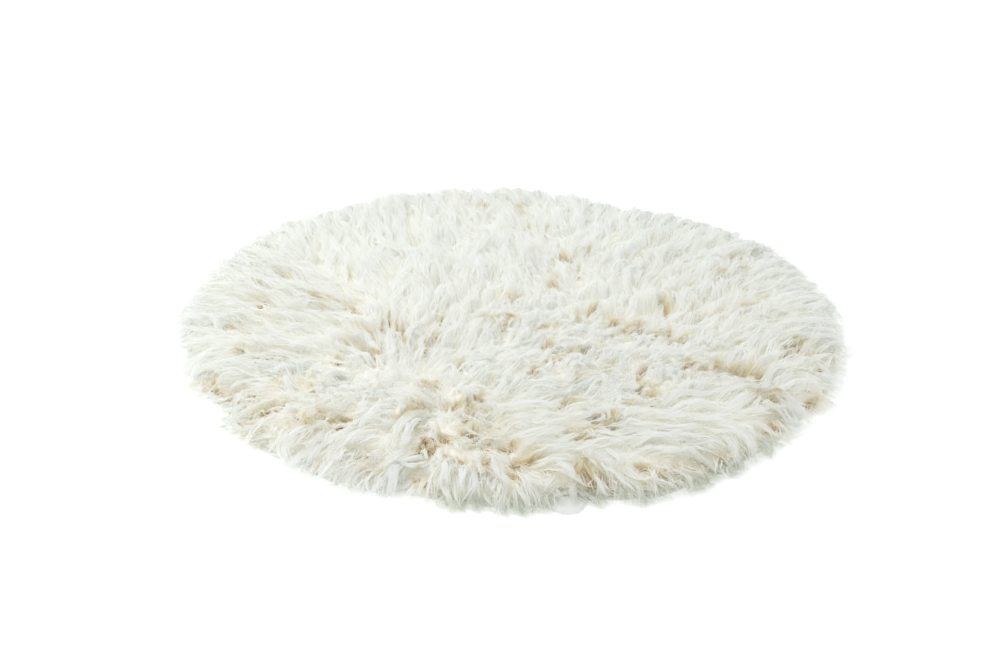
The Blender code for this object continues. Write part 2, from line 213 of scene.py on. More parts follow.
# The wool's roots show through gaps: each follows a line from one point of the photograph to
# another, and half_width, in millimetres, is how far the gap opens to either side of it.
Gap = namedtuple("Gap", "column row column_2 row_2 half_width")
GAPS = [Gap(*row) for row in (
    # left of the crown
    (277, 268, 283, 270, 2.5), (288, 269, 294, 271, 2.5), (349, 268, 351, 276, 2),
    (313, 292, 335, 294, 4), (350, 302, 358, 308, 5), (330, 309, 344, 311, 6), (241, 344, 262, 349, 5),
    (262, 349, 290, 348, 5), (331, 337, 350, 343, 1.5), (341, 357, 347, 357, 5),
    (232, 321, 238, 322, 3.5), (243, 325, 249, 326, 5), (258, 296, 271, 296, 5), (256, 279, 261, 281, 3),
    (259, 312, 270, 316, 3), (192, 377, 214, 372, 2.5), (211, 393, 242, 391, 2.5),
    (243, 383, 253, 387, 3), (283, 373, 286, 374, 3.5), (274, 382, 277, 382, 3.5),
    (266, 408, 283, 403, 7), (298, 408, 300, 408, 5), (308, 417, 311, 418, 6), (319, 404, 328, 410, 5),
    (334, 419, 343, 414, 5.5), (343, 416, 355, 409, 7), (240, 418, 266, 417, 2.5),
    (244, 431, 261, 430, 2.5), (258, 440, 270, 439, 2.5), (276, 422, 302, 422, 2),
    (329, 448, 310, 466, 2), (345, 447, 388, 446, 2), (356, 473, 386, 464, 2.5), (313, 385, 317, 385, 5),
    (303, 381, 305, 381, 5),
    # the crown
    (361, 322, 371, 331, 5), (358, 338, 368, 348, 8), (368, 348, 379, 354, 6), (374, 328, 376, 335, 2),
    (382, 318, 382, 332, 2), (389, 312, 391, 330, 3), (396, 320, 397, 332, 2), (402, 322, 404, 345, 3),
    (414, 348, 416, 352, 3), (424, 345, 432, 325, 1.2), (430, 343, 440, 322, 1.2),
    (436, 318, 446, 318, 3),
    # behind
    (479, 204, 486, 204, 3), (517, 206, 522, 206, 4), (524, 216, 532, 229, 1.2), (546, 228, 551, 228, 2),
    (561, 256, 567, 262, 5), (548, 271, 558, 275, 3.5), (571, 262, 574, 254, 2),
    (578, 267, 580, 263, 2.5), (584, 258, 590, 242, 2), (550, 289, 557, 288, 6.5),
    (505, 298, 519, 298, 5), (499, 326, 509, 322, 6), (478, 317, 496, 319, 2.5), (500, 318, 518, 317, 3),
    (530, 331, 540, 329, 4), (540, 328, 555, 324, 4), (588, 308, 600, 304, 4), (575, 311, 582, 311, 2.5),
    (605, 310, 614, 310, 1.5), (623, 254, 628, 254, 2.5), (636, 255, 642, 255, 2.5),
    (649, 233, 655, 233, 2.5), (624, 330, 639, 327, 6), (637, 318, 639, 325, 3.5),
    (606, 337, 617, 336, 6.5), (612, 326, 617, 331, 5), (647, 336, 660, 336, 4.5),
    # right
    (718, 272, 722, 272, 4), (738, 266, 750, 269, 3), (729, 254, 744, 254, 3), (670, 291, 690, 286, 4),
    (660, 301, 664, 299, 4), (664, 306, 668, 311, 4.5), (671, 302, 674, 297, 2),
    (667, 324, 668, 336, 1.6), (669, 340, 674, 343, 5), (680, 341, 683, 338, 5), (737, 304, 750, 304, 6),
    (750, 303, 762, 297, 3), (685, 317, 694, 307, 2.5), (698, 319, 711, 316, 3.5),
    (711, 316, 721, 308, 3.5), (733, 344, 740, 343, 3), (806, 317, 818, 316, 2.5),
    (787, 336, 795, 336, 6.5), (784, 347, 795, 345, 6.5), (795, 345, 807, 340, 5),
    (801, 331, 822, 333, 2), (794, 360, 813, 352, 5), (822, 353, 845, 353, 2.5),
    (822, 380, 830, 390, 6.5), (680, 362, 689, 361, 8), (682, 367, 688, 366, 4), (701, 368, 706, 368, 5),
    (712, 361, 718, 368, 8), (720, 371, 729, 373, 6), (733, 375, 745, 377, 7), (745, 378, 757, 381, 6),
    (748, 387, 762, 390, 5.5), (762, 390, 776, 389, 4.5), (766, 392, 775, 399, 1.8),
    (805, 398, 813, 407, 9.5), (764, 418, 779, 418, 5),
    # middle
    (583, 347, 599, 346, 6), (549, 358, 557, 356, 4.5), (531, 364, 536, 361, 3),
    (562, 352, 569, 350, 4.5), (544, 347, 549, 347, 3.5), (592, 369, 607, 367, 4.5),
    (577, 369, 579, 376, 2.5), (634, 372, 640, 388, 2.5), (640, 384, 650, 385, 2.5),
    (643, 392, 655, 398, 4.5), (625, 399, 626, 399, 4.5), (642, 366, 654, 364, 5),
    (562, 396, 568, 396, 8), (563, 427, 581, 427, 8.5), (590, 422, 604, 428, 3),
    (604, 428, 612, 420, 2.5), (611, 420, 612, 411, 2.5), (595, 415, 596, 415, 4.5),
    (454, 406, 465, 404, 6), (468, 396, 476, 391, 4.5), (467, 408, 480, 406, 6),
    (447, 409, 449, 411, 2.5), (430, 392, 436, 394, 2.5), (424, 384, 440, 385, 2.5),
    (480, 385, 492, 383, 2.2), (487, 418, 511, 418, 2.5), (648, 419, 660, 419, 2.5),
    # front
    (404, 416, 416, 413, 7), (416, 412, 429, 410, 7.5), (417, 397, 424, 400, 1.2),
    (424, 433, 431, 438, 6), (425, 444, 430, 439, 13), (444, 430, 456, 430, 9), (465, 424, 474, 425, 7),
    (476, 430, 482, 430, 8.5), (489, 443, 506, 442, 9.5), (446, 452, 462, 453, 7.5),
    (483, 450, 484, 460, 5), (483, 463, 490, 490, 2.5), (512, 458, 529, 456, 9), (514, 466, 519, 467, 6),
    (530, 447, 534, 455, 2), (544, 459, 554, 459, 1), (419, 477, 428, 477, 4), (574, 467, 580, 478, 3),
    (582, 482, 590, 496, 4.5), (593, 484, 606, 495, 4.5), (637, 456, 657, 458, 4.5),
    (656, 459, 672, 465, 3.2), (678, 457, 699, 456, 5.5), (684, 464, 700, 471, 4.5),
    (700, 430, 708, 430, 2.5), (631, 462, 640, 484, 2), (652, 466, 660, 482, 1.5),
    (668, 464, 676, 478, 2), (690, 468, 700, 476, 3.5), (716, 459, 728, 465, 3.5),
    (640, 484, 645, 491, 2.5), (614, 470, 624, 484, 1.2), (454, 362, 462, 359, 2),
)]
GAP_STEP = 0.003  # between the points of the map of gaps
GAP_TESTS = 24  # places along a strand that are tried for gaps
GAP_EDGE = 0.35  # how far noise moves a gap's edge, as a share of its half width
GAP_EDGE_SIZE = 0.010
GAP_LEAST_HALF = 0.002  # the half width that stands where there is no gap
GAP_RISE = 0.12  # share of a lock's length in which wool rises out of a gap
SHORTEST = 0.10  # share of a lock's length, under which a cut strand is left out

# Locks of one kind. Lengths are in metres; the two angles are how far locks stray and bend.
# Their tips lie at the share "top" of the pile's height, less the share "sag" where they hang down.
# A strand's colour runs from the point "root_tint" to "tip_tint" of the wool's roots-to-tips colours.
# In a gap, strands end somewhere between the depths "cut_first" and "cut_last", so its edge is ragged.
Fleece = namedtuple(
    "Fleece",
    "name spacing length half_width half_thick stray bend wave wave_length strands points width own_wave"
    " draw top sag root_tint tip_tint cut_first cut_last",
)
FLEECES = [Fleece(*row) for row in (
    ("under", .017, .05, .0110, .002, 40, 40, .003, .04, 4, 5, .0024, .0015, .3, .78, 0, .34, .75, .35, .85),
    ("long", .017, .088, .0095, .006, 9, 26, .003, .075, 17, 7, .0013, .0006, .5, 1, 0, .37, 1, -.2, .8),
    ("curled", .012, .046, .0075, .004, 40, 60, .003, .034, 16, 9, .0013, .0009, .6, 1, 0, .37, 1, -.2, .8),
    ("tuft", 0, .080, .0100, .005, 0, 0, .002, .060, 52, 11, .0012, .0013, .45, 1, 0, .37, .62, 2, 2),
    ("rim", .015, .085, .0090, .005, 11, 24, .003, .060, 16, 7, .0013, .0006, .8, 1, .85, .45, 1, -.2, .8),
)]
PIECE_TRIANGLES = 180000  # the most in one piece

# Where the locks are rooted
ROOT_STRAY = 0.2  # of the spacing
FEWEST = 0.85  # share of the places where locks may be rooted that carry one, where the lay is even
FEWEST_CLOSING = 0.8  # of that share, where it closes up
PARTING_GAIN = 0.025  # how many more are rooted where the lay parts
CURLED_TAKE = 0.75  # share of the long locks that curled ones take the place of
PARTING_SPREAD = 25.0  # radians a metre, where locks start upright
PARTING_STRAY = 30.0  # degrees more that these stray
RIM_ROWS = (0.012, 0.030, 0.055)  # how far inside the cloth's edge
RIM_ROOT_TURN = 0.3  # of the spacing, that roots of the rim stray along it
RIM_ROOT_STRAY = 0.006  # and across it
RIM_ENDS = (-0.016, 0.004)  # how far past the outline the locks' tips come
RAGGED = 0.009  # how far the rim's outline wanders in and out
RAGGED_FRONT = 0.006  # and how much farther in front
RAGGED_FULL = 0.4  # this far in front of the middle
RAGGED_SIZE = 0.03
LOW_TIER = 0.065  # roots nearer the cloth's edge than this carry lower locks, that lie underneath
LOW_SHARE = 0.40  # how high the lowest of them rise

# How a lock runs. A share is of its length, from the root.
LOCK_POINTS = 13  # along the middle line of a lock
SHARES = np.linspace(0.0, 1.0, LOCK_POINTS)
LOCK_LENGTH_SPREAD = 0.14
LOCK_LENGTHS = (0.65, 1.35)  # the least and the most, beside the usual
BEND_MIDDLE = 0.3  # share at which a bent lock heads the way of the lay
TIP_BEND = 35.0  # degrees more that its tip may bend
LEAN_START = 30.0  # degrees off upright at the root
LEAN_UPRIGHT = 26.0  # fewer where the lay parts
LEAN_RUN = 0.45  # share by which it lies flat
LEAN_RUN_UPRIGHT = 0.35  # more where the lay parts
WAVES = (0.5, 1.4)  # of a lock, beside the usual
WAVE_START = 0.4  # share by which it has its full wave
WAVE_RISE = 0.5  # of the wave, upwards
RISE_END = 0.40  # share by which it has come up to the pile's top
LIFTS = 0.0030  # how differently high locks lie
TIP_LIFT = 0.006  # how far a tip lies over the locks beyond it
TIP_LIFT_FROM = 0.6
ROOT_IN_MAT = 0.8  # how high in the dense wool a lock is rooted
SAG_RUN = (0.45, 0.95)
LOCK_SIZES = (0.5, 1.0)  # of locks cut short at the rim
LOCK_WIDTHS = (0.7, 1.2)

# How a lock's strands run. A place across it is a share of its half width.
STRAND_BEGINS = (0.0, 0.40)
STRAND_ENDS = (0.70, 1.06)
POINTS_A_LOCK = 3  # tips that a lock's strands draw together to
TIP_PLACES = 0.55
ROOT_PLACES = 1.1
DRAW_RUN = (0.30, 0.95)
LOOSE_SHARE = 0.05  # of the strands, that fly off their lock
LOOSE_FLY = 0.9
LOOSE_RISE = (0.002, 0.007)
HELD_FLY = 0.12
HELD_RISE = 0.0010
PROUD = 0.0004  # how far strands lie over their lock's surface
PROUD_SPREAD = 0.0005
OWN_WAVES = (0.3, 1.3)  # of a strand, beside the usual
OWN_WAVE_START = 0.3
OWN_WAVE_LENGTH = 0.45  # of the lock's
PHASE_SPREAD = 0.8  # radians
STRAND_TILT = 0.18  # radians
STRAND_ROLL = 0.4  # radians at a lock's side, that its strands lie over with its round shape
STRAND_TAPER = ((0.0, 0.2, 0.6, 1.0), (0.6, 1.0, 0.9, 0.25))
STRAND_WIDTHS = (0.6, 1.4)
LOCK_TONE = 0.6
LOCK_TONE_SPREAD = 0.16
STRAND_TONE_SPREAD = 0.07
STRAND_TONE_LEAST = 0.15
TONE_WIDTH = 0.03  # how much a strand's tone changes from side to side
CALM = 0.50  # how much flatter the locks are behind
CALM_PUFF = 0.6  # and the swells
CALM_CUT = 0.35  # how much deeper in a gap the wool there is cut
CALM_DRAW = 0.5  # how much less its strands draw together
CALM_RUN = (0.0, 0.30)  # how far back it grows calm

# Single strands past the rim
WISPS = 900
WISP_POINTS = 7
WISP_WIDTH = 0.0009
WISP_INSETS = (0.015, 0.050)
WISP_STRAY = 28.0  # degrees
WISP_BEND = 45.0
WISP_LENGTHS = (0.020, 0.050)
WISP_ROOTS = (0.15, 1.0)  # of the pile's height
WISP_RISE = 0.002
WISP_TILT = 0.9  # radians
WISP_TAPER = ((0.0, 0.6, 1.0), (1.0, 0.8, 0.2))
WISP_TONE = 0.7
WISP_TONE_SPREAD = 0.15
WISP_TONE_LEAST = 0.2
WISP_TINT = 0.5  # where along the wool's colours they start

# The dense wool between the roots
MAT_SIDES = 240
MAT_RINGS = 80
MAT_DEPTH = 0.002  # of its underside, below the roots
MAT_SHARE = 0.66  # of the pile's height, that it fills
CURLED_FILL = 0.18  # more of it, where the wool is curled
GAP_SINK = 0.88  # how much less of it is filled in the middle of a gap
MAT_ROUGH = 0.0015
MAT_ROUGH_SIZE = 0.012

# How warm and dark the wool's colour is: its warmer roots, and painted shade in the gaps
TINT_SHADE_RUN = 3.3  # past a gap, the warm root colour and painted shade fade within this many half widths
TINT_SHADE_LEAST = 0.009  # and this much more
TINT_SHADE_STEPS = 16
TINT_SHADE_RIM = (0.53, 0.62)  # over this stretch the warm colour and painted shade pale towards the rim
TINT_SHADE_MOST = 95.0  # its strength in a gap's middle, for each metre of half width
TINT_SHADE_LEAST_MOST = 0.80
TINT_SHADE_LONGEST = 0.030
TINT_SHADE_GAIN = 1.6  # how soon it is at its strongest, from a gap's edge inwards
DEEP_HALF = 0.011  # a gap wider than this to either side is a deep one, painted dark as shade from its edge
DEEP_GAIN = 9.0
TINT_SHADE_PASSING = 0.95  # share of it on strands that neither start nor end at the gap
TINT_SHADE_ENDED = 0.80  # and on those that end at it
WHITE_TINT = 0.42  # where the wool's roots-to-tips colours have turned white
UNDERSIDE_SHADE_MIDDLE = 287.0  # the front of the rim, where its low wool is painted duller, as shade under the overhang
UNDERSIDE_SHADE_SIDES = (34.0, 27.0)  # over which the painted shade grows, towards that bearing
UNDERSIDE_SHADE_INNER = 0.54
UNDERSIDE_SHADE_HEIGHTS = (0.033, 0.011)  # and downwards

# The ground cloth
CLOTH_BEARINGS = np.arange(0.0, 360.0, 0.75)
CLOTH_LOW = 0.0002  # its faces lie this much inside the solid's
CLOTH_HIGH = 0.0003
CLOTH_ROUND = 0.0009  # of its edge, inwards
CLOTH_ROUND_HIGH = 0.0010  # and up and down
CLOTH_EDGE_LEAN = 0.0002
CLOTH_INNER, CLOTH_OUTER, CLOTH_FLAT = 0.5, 0.9, 0.97  # where its rings of points lie, out to 1


def smooth(value, start=0.0, full=1.0):
    """0 to 1 as the value goes from start to full, level at both ends."""
    part = np.clip((value - start) / (full - start), 0.0, 1.0)
    return part * part * (3.0 - 2.0 * part)


def ripples(points, size, seed):
    """Smooth noise of about -1 to 1 at each of the points, with swells about size wide."""
    rng = np.random.default_rng(seed)
    turn = rng.uniform(0.0, math.tau, RIPPLE_WAVES)
    pitch = math.tau / (size * rng.uniform(*RIPPLE_LENGTHS, RIPPLE_WAVES))
    phase = rng.uniform(0.0, math.tau, RIPPLE_WAVES)
    along = points[..., 0:1] * np.cos(turn) + points[..., 1:2] * np.sin(turn)
    return np.sin(along * pitch + phase).sum(axis=-1) / math.sqrt(RIPPLE_WAVES)


def ways(turn):
    """Level unit vectors at these headings, in radians."""
    return np.stack([np.cos(turn), np.sin(turn)], axis=-1)


def radius(points):
    return np.hypot(points[..., 0], points[..., 1])


def seed_heads(count, reach):
    """Points spread evenly over a disc, as the seeds of a sunflower are."""
    index = np.arange(count)
    turn = index * math.pi * (3.0 - math.sqrt(5.0))
    return ways(turn) * (reach * np.sqrt((index + 0.5) / count))[:, None]


def bearings(points):
    return np.degrees(np.arctan2(points[..., 1], points[..., 0])) % 360.0


def turned_apart(bearing, other):
    return np.abs((bearing - other + 180.0) % 360.0 - 180.0)


def outline_of(name):
    """How far out a node reaches, for each whole degree of bearing."""
    points = np.array([vertex.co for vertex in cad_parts[name].data.vertices])
    bearing, reach = bearings(points), radius(points)
    near = (turned_apart(bearing, degree) <= OUTLINE_WINDOW for degree in DEGREES)
    return np.array([reach[points_near].max() for points_near in near])


def read_outline(outline, points):
    """The outline's reach at the bearings of the points."""
    bearing = bearings(points)
    low = np.floor(bearing).astype(int) % 360
    part = bearing - np.floor(bearing)
    return outline[low] * (1.0 - part) + outline[(low + 1) % 360] * part


def round_the_rim(rows, column):
    """A table's column, for each whole degree of bearing."""
    bearing = [row.bearing for row in rows]
    return np.interp(DEGREES, bearing, [getattr(row, column) for row in rows], period=360.0)


def rim_edges():
    """The reach of the wool's ends, of its roots and of the cloth, for each whole degree of bearing."""
    cloth = outline_of("ground_cloth")
    wool = outline_of("wool_pile") - round_the_rim(RIM, "inset") / 1000.0
    root = np.minimum(cloth, wool - CLOTH_COVER)
    shown = smooth(turned_apart(DEGREES, CLOTH_SHOWS), CLOTH_SHOWS_HALF, CLOTH_BARE_HALF)
    return wool, root, root + (cloth - root) * shown, cloth


WOOL_EDGE, ROOT_EDGE, CLOTH_EDGE, CLOTH_REACH = rim_edges()
DROOP_WIDTH = round_the_rim(DROOPS, "width")
DROOP_LIFT = round_the_rim(DROOPS, "lift")
PILE_LOW, PILE_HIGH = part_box("wool_pile")
CEILING = PILE_HIGH.z + OVER_SOLID


def height_map():
    """Heights of the pile's solid on a square grid, 0 where there is none."""
    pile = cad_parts["wool_pile"].data
    tree = BVHTree.FromPolygons(
        [vertex.co for vertex in pile.vertices],
        [tuple(face.vertices) for face in pile.polygons],
    )
    half = max(PILE_HIGH.x, PILE_HIGH.y, -PILE_LOW.x, -PILE_LOW.y) + 2.0 * MAP_STEP
    side = int(math.ceil(2.0 * half / MAP_STEP))
    heights = np.zeros((side, side))
    for i in range(side):
        for j in range(side):
            start = Vector((i * MAP_STEP - half, j * MAP_STEP - half, 1.0))
            hit = tree.ray_cast(start, -UP)[0]
            if hit:
                heights[i, j] = hit.z
    return heights, half


HEIGHTS, MAP_HALF = height_map()


def solid_top(points):
    """The height of the pile's solid at each point, from the four grid heights round it."""
    place = (points + MAP_HALF) / MAP_STEP
    cell = np.clip(np.floor(place).astype(int), 0, len(HEIGHTS) - 2)
    part = np.clip(place - cell, 0.0, 1.0)
    i, j = cell[..., 0], cell[..., 1]
    u, v = part[..., 0], part[..., 1]
    near = HEIGHTS[i, j] * (1.0 - u) + HEIGHTS[i + 1, j] * u
    far = HEIGHTS[i, j + 1] * (1.0 - u) + HEIGHTS[i + 1, j + 1] * u
    return near * (1.0 - v) + far * v


def calmness(points):
    """How much calmer the wool is at each point, the most behind."""
    return smooth(points[..., 1], *CALM_RUN)


def pile_top(points):
    """The height at which the wool lies, rounding down to the floor over the rim."""
    distance = radius(points) + TINY
    droop = read_outline(DROOP_WIDTH, points)
    shoulder = read_outline(WOOL_EDGE, points) - droop
    inside = points * (np.minimum(distance, shoulder) / distance)[..., None]
    past = np.clip((distance - shoulder) / droop, 0.0, 1.0)
    puffs = PUFF_HEIGHT * (np.abs(ripples(inside, PUFF_SIZE, PUFF_SEED)) - PUFF_MIDDLE)
    puffs *= 1.0 - CALM_PUFF * calmness(points)
    fuller = read_outline(DROOP_LIFT, points) * smooth(distance, *FULLER)
    return (solid_top(inside) + puffs + fuller) * np.sqrt(1.0 - past ** 2)


def camera_place():
    tilt = math.radians(CAMERA_ELEVATION)
    return CAMERA_AIM + CAMERA_DISTANCE * Vector((0.0, -math.cos(tilt), math.sin(tilt)))


def place_at(thing, place, aim):
    """Puts a camera or a lamp in the scene, pointing at its aim."""
    bpy.context.scene.collection.objects.link(thing)
    thing.location = place
    thing.rotation_euler = (aim - place).to_track_quat("-Z", "Y").to_euler()


def make_camera():
    data = bpy.data.cameras.new("camera")
    data.lens = LENS
    data.sensor_width = SENSOR
    camera = bpy.data.objects.new("camera", data)
    place_at(camera, camera_place(), CAMERA_AIM)
    bpy.context.scene.camera = camera


def under_pixel(column, row, height):
    """Where the camera's line of sight through a pixel of the photograph comes down to a height."""
    place = camera_place()
    forward = (CAMERA_AIM - place).normalized()
    right = forward.cross(UP).normalized()
    up = right.cross(forward)
    focal = PHOTO_WIDTH * LENS / SENSOR
    aside = (column - PHOTO_WIDTH / 2.0) / focal
    down = (row - PHOTO_HEIGHT / 2.0) / focal
    sight = forward + right * aside - up * down
    point = place + sight * ((height - place.z) / sight.z)
    return point.x, point.y


def on_pile(column, row):
    """The place on the pile's top that is seen at a pixel of the photograph."""
    height = SIGHT_START * PILE_HIGH.z
    for _ in range(SIGHT_ROUNDS):
        spot = np.array(under_pixel(column, row, height))
        height = float(pile_top(spot[None])[0])
    return spot


LAY_PLACES = np.array([on_pile(lay.column, lay.row) for lay in LAY])
LAY_WAYS = ways(np.radians([lay.heading for lay in LAY]))
LAY_CURLS = np.array([lay.curl for lay in LAY])


def lay_of(points):
    """The way the wool lies at each point, as a heading in radians, and how far it is curled."""
    apart = points[:, None, :] - LAY_PLACES[None, :, :]
    weight = ((apart ** 2).sum(axis=2) + LAY_NEARNESS ** 2) ** -LAY_POWER
    weight /= weight.sum(axis=1, keepdims=True)
    distance = radius(points)[:, None] + TINY
    outward = smooth(distance, *RADIAL)
    way = (weight @ LAY_WAYS) * (1.0 - outward) + points / distance * outward
    return np.arctan2(way[:, 1], way[:, 0]), smooth(weight @ LAY_CURLS, *CURLED)


def square_grid():
    line = np.arange(-MAP_HALF, MAP_HALF, GAP_STEP)
    return np.stack(np.meshgrid(line, line, indexing="ij"), axis=2)


def gap_map():
    """For the grid's points, how deep they lie in a gap and how wide that gap is.

    The depth is 1 in a gap's middle and 0 at its edge or outside it.
    """
    noise = 1.0 + GAP_EDGE * ripples(GRID, GAP_EDGE_SIZE, GAP_SEED)
    depth = np.zeros(GRID.shape[:2])
    half_width = np.full(GRID.shape[:2], GAP_LEAST_HALF)
    for gap in GAPS:
        start = on_pile(gap.column, gap.row)
        run = on_pile(gap.column_2, gap.row_2) - start
        share = np.clip((GRID - start) @ run / (run @ run), 0.0, 1.0)
        apart = np.linalg.norm(GRID - start - share[..., None] * run, axis=2)
        own_half = gap.half_width / 1000.0
        own_depth = 1.0 - apart * noise / own_half
        half_width = np.where(own_depth > depth, own_half, half_width)
        depth = np.maximum(depth, own_depth)
    return depth, half_width


def read_grid(values, points):
    cell = np.rint((points + MAP_HALF) / GAP_STEP).astype(int)
    cell = np.clip(cell, 0, len(values) - 1)
    return values[cell[..., 0], cell[..., 1]]


def lay_map():
    """How the wool lies at the grid's points, and how far it is curled."""
    rows = [lay_of(row) for row in GRID]
    return np.stack([row[0] for row in rows]), np.stack([row[1] for row in rows])


GRID = square_grid()
GAP_DEPTHS, GAP_HALVES = gap_map()
HEADINGS, CURLS = lay_map()


def root_tint_and_shade_map():
    """How warm and dark the wool is at the grid's points, its warmer roots with painted shade: fully in a
    gap, and fading the way its wool lies.
    """
    most = np.clip(TINT_SHADE_MOST * GAP_HALVES, TINT_SHADE_LEAST_MOST, 1.0)
    gain = np.where(GAP_HALVES > DEEP_HALF, DEEP_GAIN, TINT_SHADE_GAIN)
    tint_and_shade = np.clip(gain * GAP_DEPTHS, 0.0, 1.0) * most
    for step in range(1, TINT_SHADE_STEPS + 1):
        distance = step * GAP_STEP
        before = GRID - ways(HEADINGS) * distance
        strength = np.clip(TINT_SHADE_GAIN * read_grid(GAP_DEPTHS, before), 0.0, 1.0)
        run = np.minimum(TINT_SHADE_RUN * read_grid(GAP_HALVES, before) + TINT_SHADE_LEAST, TINT_SHADE_LONGEST)
        tint_and_shade = np.maximum(tint_and_shade, strength * read_grid(most, before) * (1.0 - distance / run))
    return tint_and_shade * (1.0 - smooth(radius(GRID), *TINT_SHADE_RIM))


# warm root colour with painted shade, in and past the gaps
ROOT_TINT_AND_SHADE = root_tint_and_shade_map()


def spread_of(points):
    """How fast the wool's lay spreads apart at each point, in radians a metre."""
    spread = 0.0
    for axis, move in enumerate(SPREAD_STEP * np.eye(2)):
        ahead, behind = (ways(lay_of(place)[0])[:, axis] for place in (points + move, points - move))
        spread = spread + (ahead - behind) / (2.0 * SPREAD_STEP)
    return spread


def plan_locks(fleece, rng):
    """Where the locks of one kind are rooted, their headings in radians and how upright they start."""
    roots = rim_roots(fleece, rng) if fleece.name == "rim" else field_roots(fleece, rng)
    heading = lay_of(roots)[0]
    upright = smooth(spread_of(roots) / PARTING_SPREAD)
    heading += np.radians(LAY_WANDER) * ripples(roots, LAY_WANDER_SIZE, LAY_SEED)
    heading += np.radians(rng.normal(0.0, fleece.stray + PARTING_STRAY * upright))
    return roots, heading, upright


def field_roots(fleece, rng):
    """Roots all over the cloth, more of them where the lay parts."""
    reach = CLOTH_REACH.max()
    roots = seed_heads(int(math.pi * reach ** 2 / fleece.spacing ** 2), reach)
    roots += rng.normal(0.0, ROOT_STRAY * fleece.spacing, roots.shape)
    chance = lay_of(roots)[1]
    if fleece.name == "long":
        chance = 1.0 - CURLED_TAKE * chance
    chance *= np.clip(FEWEST + PARTING_GAIN * spread_of(roots), FEWEST * FEWEST_CLOSING, 1.0)
    if fleece.name == "under":
        chance[:] = 1.0
    inside = radius(roots) < read_outline(ROOT_EDGE, roots) - ROOT_INSET
    return roots[inside & (rng.uniform(size=len(roots)) < chance)]


def rim_roots(fleece, rng):
    """Rows of roots round the cloth, just inside its edge."""
    rows = []
    for inset in RIM_ROWS:
        count = int(math.tau * CLOTH_REACH.mean() / fleece.spacing)
        stray = rng.uniform(-RIM_ROOT_TURN, RIM_ROOT_TURN, count)
        way = ways((np.arange(count) + stray) * (math.tau / count))
        reach = read_outline(ROOT_EDGE, way) - inset - rng.uniform(-RIM_ROOT_STRAY, RIM_ROOT_STRAY, count)
        rows.append(way * reach[:, None])
    return np.concatenate(rows)


def longest(roots, way, rng):
    """The length at which each lock would end at the rim's own outline."""
    limit = read_outline(WOOL_EDGE, roots) + rng.uniform(*RIM_ENDS, len(roots))
    ragged = RAGGED + RAGGED_FRONT * smooth(-roots[:, 1] / RAGGED_FULL)
    limit += ragged * ripples(roots, RAGGED_SIZE, RIM_SEED)
    size = (way ** 2).sum(axis=1)
    along = (roots * way).sum(axis=1)
    left = limit ** 2 - (roots ** 2).sum(axis=1)
    return (np.sqrt(np.maximum(along ** 2 + size * left, 0.0)) - along) / size


def walk(steps):
    """Where each line of steps has come to, from nought."""
    return np.concatenate([np.zeros_like(steps[:, :1]), np.cumsum(steps, axis=1)], axis=1)


def lock_paths(fleece, heading, upright, rng):
    """The locks' middle lines as seen from above, from their roots, for a length of 1."""
    middle = (SHARES[1:] + SHARES[:-1]) / 2.0
    bend = np.radians(rng.normal(0.0, fleece.bend, (len(heading), 1)))
    tip_bend = np.radians(rng.normal(0.0, TIP_BEND, (len(heading), 1)))
    turning = heading[:, None] + bend * (middle - BEND_MIDDLE) + tip_bend * middle ** 3
    start = LEAN_START - LEAN_UPRIGHT * upright[:, None]
    lean_run = LEAN_RUN + LEAN_RUN_UPRIGHT * upright[:, None]
    lean = np.radians(start + (90.0 - start) * smooth(middle / lean_run))
    step = np.sin(lean) * np.diff(SHARES)
    return walk(ways(turning) * step[:, :, None])


def lay_locks(fleece, rng):
    """The locks' middle lines, as arrays of locks by points by x, y, z, and their sizes."""
    roots, heading, upright = plan_locks(fleece, rng)
    count = len(roots)
    path = lock_paths(fleece, heading, upright, rng)
    length = fleece.length * np.clip(rng.normal(1.0, LOCK_LENGTH_SPREAD, count), *LOCK_LENGTHS)
    to_rim = longest(roots, path[:, -1], rng)
    length = to_rim if fleece.name == "rim" else np.minimum(length, to_rim)
    cycles = length[:, None] * SHARES / fleece.wave_length * math.tau
    cycles += rng.uniform(0.0, math.tau, (count, 1))
    wave = fleece.wave * rng.uniform(*WAVES, (count, 1)) * smooth(SHARES / WAVE_START)
    across = ways(heading + math.pi / 2.0)
    flat = roots[:, None, :] + path * length[:, None, None]
    flat = flat + across[:, None, :] * (wave * np.sin(cycles))[:, :, None]

    lift = rng.normal(0.0, LIFTS, (count, 1)) + TIP_LIFT * (SHARES - TIP_LIFT_FROM) - fleece.half_thick
    root = np.maximum(ROOT_IN_MAT * mat_top(roots), ROOT_HEIGHT)[:, None]
    top = pile_top(flat) * tier_of(roots)[:, None] * fleece.top + lift
    height = root + (top - root) * smooth(SHARES / RISE_END)
    height *= 1.0 - fleece.sag * smooth(SHARES, *SAG_RUN)
    height += WAVE_RISE * wave * np.cos(cycles)
    height = np.maximum(height, least_height(flat))
    centre = [even_steps(line) for line in np.concatenate([flat, height[:, :, None]], axis=2)]
    return np.array(centre), np.clip(length / fleece.length, *LOCK_SIZES) * rng.uniform(*LOCK_WIDTHS, count)


